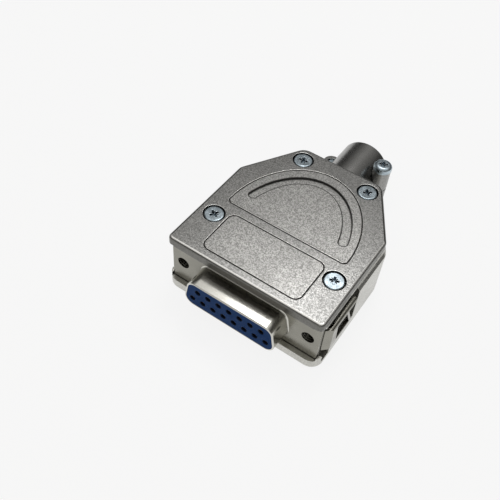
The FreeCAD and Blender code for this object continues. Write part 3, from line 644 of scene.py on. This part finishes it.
# Cover
# LABEL is the label field: half its width, its front edge and its rear edge.
# ARCH is the arched field: its straight front edge, half its width and its depth.

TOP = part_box("cover")[1][2]
LABEL = (12.65 * MM, 0.75 * MM, 13.05 * MM)
ARCH = (15.15 * MM, 15.8 * MM, 22.1 * MM)
GROOVE_DEPTH = 0.2 * MM
SLOT_DEPTH = 0.5 * MM
EDGE_ROUND = 0.7 * MM
OUTLINE_REACH = 0.5 * MM
HIGHLIGHT_SLOPE = 0.8
NARROW_FACE = 1.0 * MM * MM
# Of the cover's finishes, the side one is a darker copy of the plate as painted shade, the edge one
# a bright copy as a painted highlight, and the dust one dust with painted shade.
BORDER, FIELD, DUST_AND_SHADE, SHADED_SIDE, EDGE = range(5)


def in_field(point):
    """Whether a point of the cover's top lies in the label field or in the arched field."""
    half, front, rear = LABEL
    if abs(point.x) < half + SLACK and front - SLACK < point.y < rear + SLACK:
        return True
    straight, half, deep = ARCH
    if point.y < straight - SLACK:
        return False
    return math.hypot(point.x / half, (point.y - straight) / deep) < 1.0 + SLACK / half


def on_outline(point):
    """Whether a point lies near the outline groove of one of the two fields."""
    steps = (Vector((OUTLINE_REACH, 0, 0)), Vector((0, OUTLINE_REACH, 0)))
    return any(in_field(point + step) != in_field(point - step) for step in steps)


def at_slot(point):
    """Whether a point of the cover lies inside a field and away from its outline groove."""
    return in_field(point) and not on_outline(point)


def in_slot(face):
    """Whether a face is the floor or a wall of the curved slot."""
    height = face.center.z
    deep = near(height, TOP - SLOT_DEPTH) or near(height, TOP - SLOT_DEPTH / 2)
    return deep and at_slot(face.center)


def on_rim(face, ring):
    """Whether a face belongs to the cover's rounded upper edge or to its upright outer side."""
    across = Vector((face.normal.x, face.normal.y, 0))
    if across.length < 0.1:
        return False
    across.normalize()
    farthest = max(across.dot(point) for point in ring)
    return farthest - across.dot(face.center) < EDGE_ROUND + SLACK


def cover_finish(face, points, ring):
    """Which of the cover's finishes a face gets, among them a painted highlight, painted shade, and
    dust with painted shade.
    """
    low, high = min(point.z for point in points), max(point.z for point in points)
    # Rim faces turned up towards the front and right get a bright copy of the plate as a painted
    # highlight; the other rim faces and the upright sides get a darker copy as painted shade.
    if on_rim(face, ring):
        bright_side = face.normal.y < 0.3 * face.normal.x
        return EDGE if face.normal.z > HIGHLIGHT_SLOPE and bright_side else SHADED_SIDE
    if low > TOP - SLACK:
        if not all(in_field(point) for point in points):
            return BORDER
        return DUST_AND_SHADE if face.area < NARROW_FACE and at_slot(face.center) else FIELD
    if high - low < SLACK:
        # Groove floors get dust and painted shade.
        if near(low, TOP - GROOVE_DEPTH):
            return DUST_AND_SHADE
        return FIELD if near(low, TOP - SLOT_DEPTH) else BORDER
    # The curved slot's walls get dust and painted shade.
    if at_slot(face.center) and low > TOP - SLOT_DEPTH - SLACK:
        return DUST_AND_SHADE
    # The rounded lips of the grooves get a bright copy as a painted highlight; their walls get dust
    # and painted shade.
    if low > TOP - GROOVE_DEPTH - SLACK:
        return EDGE if face.normal.z > 0.2 else DUST_AND_SHADE
    return BORDER


class CONNECTOR_OT_cover(bpy.types.Operator):
    """Model the cover: soft edges on its grooves and wells, and brighter fields"""
    bl_idname = "connector.cover"
    bl_label = "Cover"

    def execute(self, context):
        sizes = settings("castings")
        piece = copy_of("cover")
        # A flat ring round the curved slot, later given dust and painted shade as a dark outline.
        edit(piece)
        pick(piece, "polygons", in_slot)
        bpy.ops.mesh.inset(thickness=sizes.slot_line, use_even_offset=True, use_outset=True)
        deselect()
        round_edges(piece, sizes.groove_radius, lambda a, b: (
            min(a.z, b.z) > TOP - SLACK and not (at_slot(a) and at_slot(b))))
        border, field = sizes.border_roughness, sizes.field_roughness
        finish(piece, "hood_cover", "cover", [
            coat("cast_border", cast_metal, sizes.border_colour, border),
            coat("cast_field", cast_metal, sizes.colour, field),
            coat("groove_dust", groove_dust),
            # A darker copy of the plate as painted shade.
            coat("cast_side", cast_metal, sizes.shaded_side_colour, border, 0.5),
            # A bright copy of the plate as a painted highlight.
            coat("cast_edge", cast_metal, sizes.highlight_colour, border, 0.2)])
        points = [vertex.co for vertex in piece.data.vertices]
        ring = [point for point in points if near(point.z, TOP - EDGE_ROUND)]
        for face in piece.data.polygons:
            corners = [points[index] for index in face.vertices]
            face.material_index = cover_finish(face, corners, ring)
        return {"FINISHED"}


# Housing and cable clamp

OUTER_SIDE = 1.2 * MM
OUTER_FRONT = 0.3 * MM
BEHIND_HOOD = 43.5 * MM


class CONNECTOR_OT_housing(bpy.types.Operator):
    """Model the housing with softened outer edges"""
    bl_idname = "connector.housing"
    bl_label = "Housing"

    def execute(self, context):
        sizes = settings("castings")
        piece = copy_of("housing")
        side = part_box("housing")[1][0] - OUTER_SIDE
        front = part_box("housing")[0][1] + OUTER_FRONT
        round_edges(piece, sizes.edge_radius, lambda a, b: all(
            abs(point.x) > side or point.y < front for point in (a, b)))
        finish(piece, "hood_housing", "housing", [
            coat("cast_wall", cast_metal, sizes.wall_colour, sizes.border_roughness, 0.4)])
        return {"FINISHED"}


class CONNECTOR_OT_cable_clamp(bpy.types.Operator):
    """Model both halves of the cable clamp, with soft edges behind the hood"""
    bl_idname = "connector.cable_clamp"
    bl_label = "Cable clamp"

    def execute(self, context):
        sizes = settings("castings")
        for name in ("clamp_upper", "clamp_lower"):
            piece = copy_of(name)
            round_edges(piece, sizes.edge_radius, lambda a, b: min(a.y, b.y) > BEHIND_HOOD)
            finish(piece, f"cable_{name}", name, [
                coat("cast_clamp", cast_metal, sizes.border_colour, sizes.clamp_roughness, 0.35)])
        return {"FINISHED"}


# Connector

TUBE_START = -0.05 * MM
ROUND_MOUTHS = 0.3 * MM
MOUTH_DEPTH = 0.7 * MM


class CONNECTOR_OT_shells(bpy.types.Operator):
    """Model the two drawn shells, with rounded edges and a polished tube"""
    bl_idname = "connector.shells"
    bl_label = "Shells"

    def execute(self, context):
        sizes = settings("sheet")
        for name in ("front_shell", "rear_shell"):
            piece = copy_of(name)
            round_edges(piece, sizes.edge_radius)
            finish(piece, f"drawn_{name}", name, [
                # The flange's darker colour and wide corner darkening are painted shade; the tube
                # takes the brighter colour without the wide painted shade.
                coat("plated_shell", sheet_metal, sizes.colour, sizes.roughness),
                coat("plated_tube", sheet_metal, sizes.tube_colour, sizes.tube_roughness, 0.0)])
            for face in piece.data.polygons:
                face.material_index = int(face.center.y < TUBE_START)
        return {"FINISHED"}


class CONNECTOR_OT_insulators(bpy.types.Operator):
    """Model the front insulator with chamfered contact holes, and finish the rear one"""
    bl_idname = "connector.insulators"
    bl_label = "Insulators"

    def execute(self, context):
        sizes = settings("insulator")
        piece = copy_of("insulator_front")
        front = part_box("insulator_front")[0][1]
        wide = ROUND_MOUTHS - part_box("contact_01")[0][0]
        tall = ROUND_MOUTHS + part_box("contact_15")[1][2]

        def at_mouths(point):
            """Whether a point lies among the contact holes, seen from the front."""
            return abs(point.x) < wide and abs(point.z) < tall

        round_edges(piece, sizes.mouth_chamfer, lambda a, b: all(
            point.y < front + SLACK and at_mouths(point) for point in (a, b)), segments=1)
        finish(piece, "insulator_face", "insulator_front", [
            coat("moulded_blue", moulded_blue), coat("hole_shade", hole_shade)])
        for face in piece.data.polygons:
            inside = front + SLACK < face.center.y < front + MOUTH_DEPTH
            face.material_index = int(inside and at_mouths(face.center))
        paint("insulator_rear", coat("moulded_blue", moulded_blue))
        return {"FINISHED"}


class CONNECTOR_OT_contacts(bpy.types.Operator):
    """Finish the socket contacts"""
    bl_idname = "connector.contacts"
    bl_label = "Contacts"

    def execute(self, context):
        for name in CONTACTS:
            paint(name, coat("contact_gold", contact_gold))
        return {"FINISHED"}


# Screws
# RECESS_TURNS is how far each screw's recess is turned, in degrees.

RECESS_TURNS = {
    "cover_screw_front_right": 18, "cover_screw_front_left": -28,
    "cover_screw_rear_right": 40, "cover_screw_rear_left": 8,
    "clamp_screw_right": 25, "clamp_screw_left": 25,
}
UPSIDE_DOWN = "clamp_screw_left"
HEAD_SIDES = 40
DOME_STEPS = 6
COVER_DOME = 0.4 * MM
CLAMP_DOME = 1.0 * MM
UNDER_HEAD = 0.1 * MM
TIP = 0.4 * MM
TIP_TAPER = 0.7
ABOVE_HEAD = 0.1 * MM
RECESS_TAPER = (0.62, 0.72, 1.0)
MARK_LENGTH = 0.95
MARK_SIZE = 0.4
FACES_DOWN = -0.99
THREAD_END = 0.6 * MM
THREAD_STEPS = 20
RIDGE_FOOT = 0.05 * MM
RIDGE_HALF = 0.24
RIDGE_MERGE = 0.001 * MM


def recess_cutter(half, width, depth, top):
    """A bar across the head that narrows towards its lower side."""
    deselect()
    bpy.ops.mesh.primitive_cube_add(size=1.0, location=(0, 0, top - depth / 2 + ABOVE_HEAD))
    bar = bpy.context.object
    bar.scale = (2 * half, width, depth + 2 * ABOVE_HEAD)
    bpy.ops.object.transform_apply(location=True, rotation=True, scale=True)
    edit(bar)
    pick(bar, "polygons", lambda face: face.normal.z < FACES_DOWN)
    bpy.ops.transform.resize(value=RECESS_TAPER)
    deselect()
    return bar


def cut_recess(piece, top):
    """Cut the cross recess: two deep arms and two fine marks between them."""
    sizes = settings("screws")
    half, width, depth = sizes.recess_half, sizes.recess_width, sizes.recess_depth
    arm = (half, width, depth)
    mark = (MARK_LENGTH * half, MARK_SIZE * width, MARK_SIZE * depth)
    for angle, shape in ((0, arm), (90, arm), (45, mark), (135, mark)):
        bar = recess_cutter(*shape, top)
        bar.rotation_euler.z = math.radians(angle)
        select(bar)
        bpy.ops.object.transform_apply(location=False, rotation=True, scale=False)
        select(piece)
        cut = piece.modifiers.new("recess", "BOOLEAN")
        cut.object = bar
        cut.operation = "DIFFERENCE"
        cut.solver = "EXACT"
        bpy.ops.object.modifier_apply(modifier=cut.name)
        bpy.data.objects.remove(bar)


def thread(core, low, high):
    """A ridge wound round the shank, closed at both ends."""
    sizes = settings("screws")
    deselect()
    bpy.ops.mesh.primitive_circle_add(
        vertices=3, radius=1.0, location=(0, 0, 0), rotation=(math.pi / 2, 0, 0))
    ridge = bpy.context.object
    bpy.ops.object.transform_apply(location=True, rotation=True, scale=True)
    foot, crest = core - RIDGE_FOOT, core + sizes.thread_depth
    corners = ((foot, -RIDGE_HALF), (crest, 0.0), (foot, RIDGE_HALF))
    for vertex, (across, along) in zip(ridge.data.vertices, corners):
        vertex.co = (across, 0.0, low + along * sizes.thread_pitch)
    wind = ridge.modifiers.new("wind", "SCREW")
    wind.axis = "Z"
    wind.screw_offset = sizes.thread_pitch
    wind.iterations = int((high - low) / sizes.thread_pitch)
    wind.steps = wind.render_steps = THREAD_STEPS
    bpy.ops.object.modifier_apply(modifier=wind.name)
    edit(ridge, "EDGE")
    bpy.ops.mesh.select_all(action="SELECT")
    bpy.ops.mesh.remove_doubles(threshold=RIDGE_MERGE)
    bpy.ops.mesh.select_all(action="DESELECT")
    bpy.ops.mesh.select_non_manifold()
    bpy.ops.mesh.edge_face_add()
    bpy.ops.mesh.select_all(action="SELECT")
    bpy.ops.mesh.normals_make_consistent(inside=False)
    deselect()
    return ridge


def model_screw(radius, head, length, dome):
    """A cross-recess screw with its seat at the origin and its head up."""
    core = settings("screws").shank_radius
    deselect()
    bpy.ops.mesh.primitive_cylinder_add(
        vertices=HEAD_SIDES, radius=radius, depth=head, location=(0, 0, head / 2))
    piece = bpy.context.object
    bpy.ops.object.transform_apply(location=True, rotation=True, scale=True)
    edit(piece, "EDGE")
    pick(piece, "edges", lambda edge: min(end.z for end in ends(piece, edge)) > head - SLACK)
    bpy.ops.mesh.bevel(offset=dome, segments=DOME_STEPS, affect="EDGES")
    pick(piece, "edges", lambda edge: max(end.z for end in ends(piece, edge)) < SLACK)
    bpy.ops.mesh.bevel(offset=UNDER_HEAD, segments=2, affect="EDGES")
    bpy.ops.mesh.select_mode(type="FACE")
    pick(piece, "polygons", lambda face: face.normal.z < FACES_DOWN)
    bpy.ops.mesh.inset(thickness=radius - UNDER_HEAD - core)
    shank = {"value": (0, 0, TIP + head - length)}
    bpy.ops.mesh.extrude_region_move(TRANSFORM_OT_translate=shank)
    bpy.ops.mesh.extrude_region_move(TRANSFORM_OT_translate={"value": (0, 0, -TIP)})
    bpy.ops.transform.resize(value=(TIP_TAPER, TIP_TAPER, 1.0))
    deselect()
    cut_recess(piece, head)
    ridge = thread(core, head - length + TIP, -THREAD_END)
    select(piece)
    ridge.select_set(True)
    bpy.ops.object.join()
    deselect()
    return piece


class CONNECTOR_OT_screws(bpy.types.Operator):
    """Model the cover and clamp screws"""
    bl_idname = "connector.screws"
    bl_label = "Screws"

    def execute(self, context):
        sizes = settings("screws")
        cover = (COVER_SCREWS, sizes.cover_head, COVER_DOME)
        clamp = [([name], sizes.clamp_head, CLAMP_DOME) for name in CLAMP_SCREWS]
        for names, head, dome in (cover, *clamp):
            low, high = (Vector(corner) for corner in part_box(names[0]))
            model = model_screw((high.y - low.y) / 2, head, high.z - low.z, dome)
            for name in names:
                low, high = (Vector(corner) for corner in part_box(name))
                middle = (low + high) / 2
                turned = math.radians(RECESS_TURNS[name])
                piece = model.copy()
                piece.data = model.data.copy()
                context.collection.objects.link(piece)
                if name == UPSIDE_DOWN:
                    piece.rotation_euler = (math.pi, 0, turned)
                    piece.location = (middle.x, middle.y, low.z + head)
                else:
                    piece.rotation_euler = (0, 0, turned)
                    piece.location = (middle.x, middle.y, high.z - head)
                finish(piece, f"{name}_piece", name, [
                    coat("screw_zinc", screw_zinc)])
            bpy.data.objects.remove(model)
        return {"FINISHED"}


# Locking slide

SLIDE_EDGE = 1.4
LIP_FRONT = 4.4 * MM
LIP_LOW = 3.0 * MM


class CONNECTOR_OT_lock_slide(bpy.types.Operator):
    """Model the locking slide with softened edges, apart from its lip's front"""
    bl_idname = "connector.lock_slide"
    bl_label = "Locking slide"

    def execute(self, context):
        sizes = settings("sheet")
        piece = copy_of("lock_slide")
        round_edges(piece, SLIDE_EDGE * sizes.edge_radius, lambda a, b: not all(
            near(point.y, LIP_FRONT) and point.z > LIP_LOW + SLACK for point in (a, b)))
        # The slide takes the sheet's darker colour and the wide painted shade near corners.
        finish(piece, "locking_slide", "lock_slide", [
            coat("plated_slide", sheet_metal, sizes.colour, sizes.roughness)])
        return {"FINISHED"}


# Stage

FLOOR_SIZE = 4.0
FLOOR_GLOW = 0.85
WHITE = (1.0, 1.0, 1.0)
SKY = (1.0, 0.99, 0.97)
STAGE_MIDDLE = (0, 0.022, 0)
KEY_PLACE = (-0.040, 0.165, 0.333)
KEY_SIZE = 0.13
FILL_PLACE = (0.10, -0.30, 0.16)
FILL_SIZE = 0.25
FILL_TINT = (1.0, 0.98, 0.95)
CAMERA_PLACE = (0.04348, -0.07314, 0.11963)
CAMERA_RIGHT = (0.82239, 0.56582, 0.05938)
CAMERA_UP = (-0.46824, 0.61388, 0.63553)
NEAREST = 0.005


def soft_light(name, place, size, power, colour):
    """Add a square area light that points at the middle of the stage."""
    bpy.ops.object.light_add(type="AREA", location=place)
    lamp = bpy.context.object
    lamp.name = name
    aim = Vector(STAGE_MIDDLE) - Vector(place)
    lamp.rotation_euler = aim.to_track_quat("-Z", "Y").to_euler()
    lamp.data.size = size
    lamp.data.energy = power
    lamp.data.color = colour


def floor_material(colour):
    """A pale floor that looks almost white and keeps the object's shadow."""
    material, tree, shader = new_material("stage_floor")
    tree.nodes.remove(shader)
    matt = node(tree, "BsdfDiffuse", {"Color": opaque(colour)})
    glow = node(tree, "Emission", {"Color": opaque(WHITE), "Strength": 1.0})
    path = node(tree, "LightPath").outputs
    seen = calculate(tree, "MAXIMUM", path["Is Camera Ray"], path["Is Glossy Ray"])
    seen = calculate(tree, "MAXIMUM", seen, path["Is Transmission Ray"])
    share = calculate(tree, "MULTIPLY", seen, FLOOR_GLOW)
    mix = node(tree, "MixShader", {0: share, 1: matt.outputs[0], 2: glow.outputs[0]})
    tree.links.new(mix.outputs[0], tree.nodes["Material Output"].inputs["Surface"])
    return material


def studio_world():
    """Soft light that is strongest overhead, even in front and dim low down behind."""
    world = bpy.data.worlds.new("studio")
    bpy.context.scene.world = world
    world.use_nodes = True
    tree = world.node_tree
    direction = node(tree, "TexCoord").outputs["Generated"]
    _, backward, height = node(tree, "SeparateXYZ", {0: direction}).outputs
    behind = remap(tree, backward, 0.1, 0.5)
    ahead = calculate(tree, "SUBTRACT", 1.0, behind)
    front = remap(tree, height, 0.12, 0.36, 0.4, 0.2)
    rear = remap(tree, height, 0.35, 0.6, 0.06, 0.25)
    overhead = remap(tree, height, 0.68, 0.9, 0.0, 0.75)
    around = calculate(tree, "ADD", calculate(tree, "MULTIPLY", rear, behind), calculate(
        tree, "MULTIPLY", front, ahead))
    level = calculate(tree, "ADD", around, overhead)
    feed(tree, tree.nodes["Background"], {"Strength": level, "Color": opaque(SKY)})


def stage_camera(lens):
    """The camera at the photograph's viewing angle."""
    data = bpy.data.cameras.new("camera")
    camera = bpy.data.objects.new("camera", data)
    bpy.context.scene.collection.objects.link(camera)
    data.lens = lens
    data.clip_start = NEAREST
    right, up = Vector(CAMERA_RIGHT), Vector(CAMERA_UP)
    back = right.cross(up).normalized()
    turn = Matrix((right.normalized(), up.normalized(), back)).transposed().to_4x4()
    camera.matrix_world = Matrix.Translation(CAMERA_PLACE) @ turn
    return camera


class CONNECTOR_OT_stage(bpy.types.Operator):
    """Add the floor, the light and the camera"""
    bl_idname = "connector.stage"
    bl_label = "Stage"

    def execute(self, context):
        sizes = settings("stage")
        low = Vector(CAD_BOUNDS[0])
        deselect()
        bpy.ops.mesh.primitive_plane_add(size=FLOOR_SIZE, location=(0, 0, low.z))
        floor = bpy.context.object
        floor.name = "floor"
        floor.data.materials.append(floor_material(sizes.floor_colour))
        soft_light("key", KEY_PLACE, KEY_SIZE, sizes.key_power, WHITE)
        soft_light("fill", FILL_PLACE, FILL_SIZE, sizes.fill_power, FILL_TINT)
        studio_world()
        context.scene.camera = stage_camera(sizes.focal_length)
        context.scene.view_settings.view_transform = "Standard"
        return {"FINISHED"}


# Panel and registration

OPERATORS = (
    CONNECTOR_OT_cover,
    CONNECTOR_OT_housing,
    CONNECTOR_OT_cable_clamp,
    CONNECTOR_OT_shells,
    CONNECTOR_OT_insulators,
    CONNECTOR_OT_contacts,
    CONNECTOR_OT_screws,
    CONNECTOR_OT_lock_slide,
    CONNECTOR_OT_stage,
)


class CONNECTOR_PT_panel(bpy.types.Panel):
    """Steps of the connector, in order"""
    bl_label = "Connector"
    bl_idname = "CONNECTOR_PT_panel"
    bl_space_type = "VIEW_3D"
    bl_region_type = "UI"
    bl_category = "Connector"

    def draw(self, context):
        for operator in OPERATORS:
            self.layout.operator(operator.bl_idname)
        for name, group in GROUPS.items():
            box = self.layout.box()
            box.label(text=name.capitalize())
            for prop in group.__annotations__:
                box.prop(settings(name), prop)


def register():
    """Register the settings, the steps and the panel."""
    for name, group in GROUPS.items():
        bpy.utils.register_class(group)
        setattr(bpy.types.Scene, f"connector_{name}", PointerProperty(type=group))
    for item in (*OPERATORS, CONNECTOR_PT_panel):
        bpy.utils.register_class(item)


def unregister():
    """Take the panel, the steps and the settings away again."""
    for item in reversed((*OPERATORS, CONNECTOR_PT_panel)):
        bpy.utils.unregister_class(item)
    for name, group in reversed(GROUPS.items()):
        delattr(bpy.types.Scene, f"connector_{name}")
        bpy.utils.unregister_class(group)


def main():
    """Build the connector step by step."""
    register()
    bpy.ops.connector.cover()
    bpy.ops.connector.housing()
    bpy.ops.connector.cable_clamp()
    bpy.ops.connector.shells()
    bpy.ops.connector.insulators()
    bpy.ops.connector.contacts()
    bpy.ops.connector.screws()
    bpy.ops.connector.lock_slide()
    bpy.ops.connector.stage()


if __name__ == "__main__":
    main()
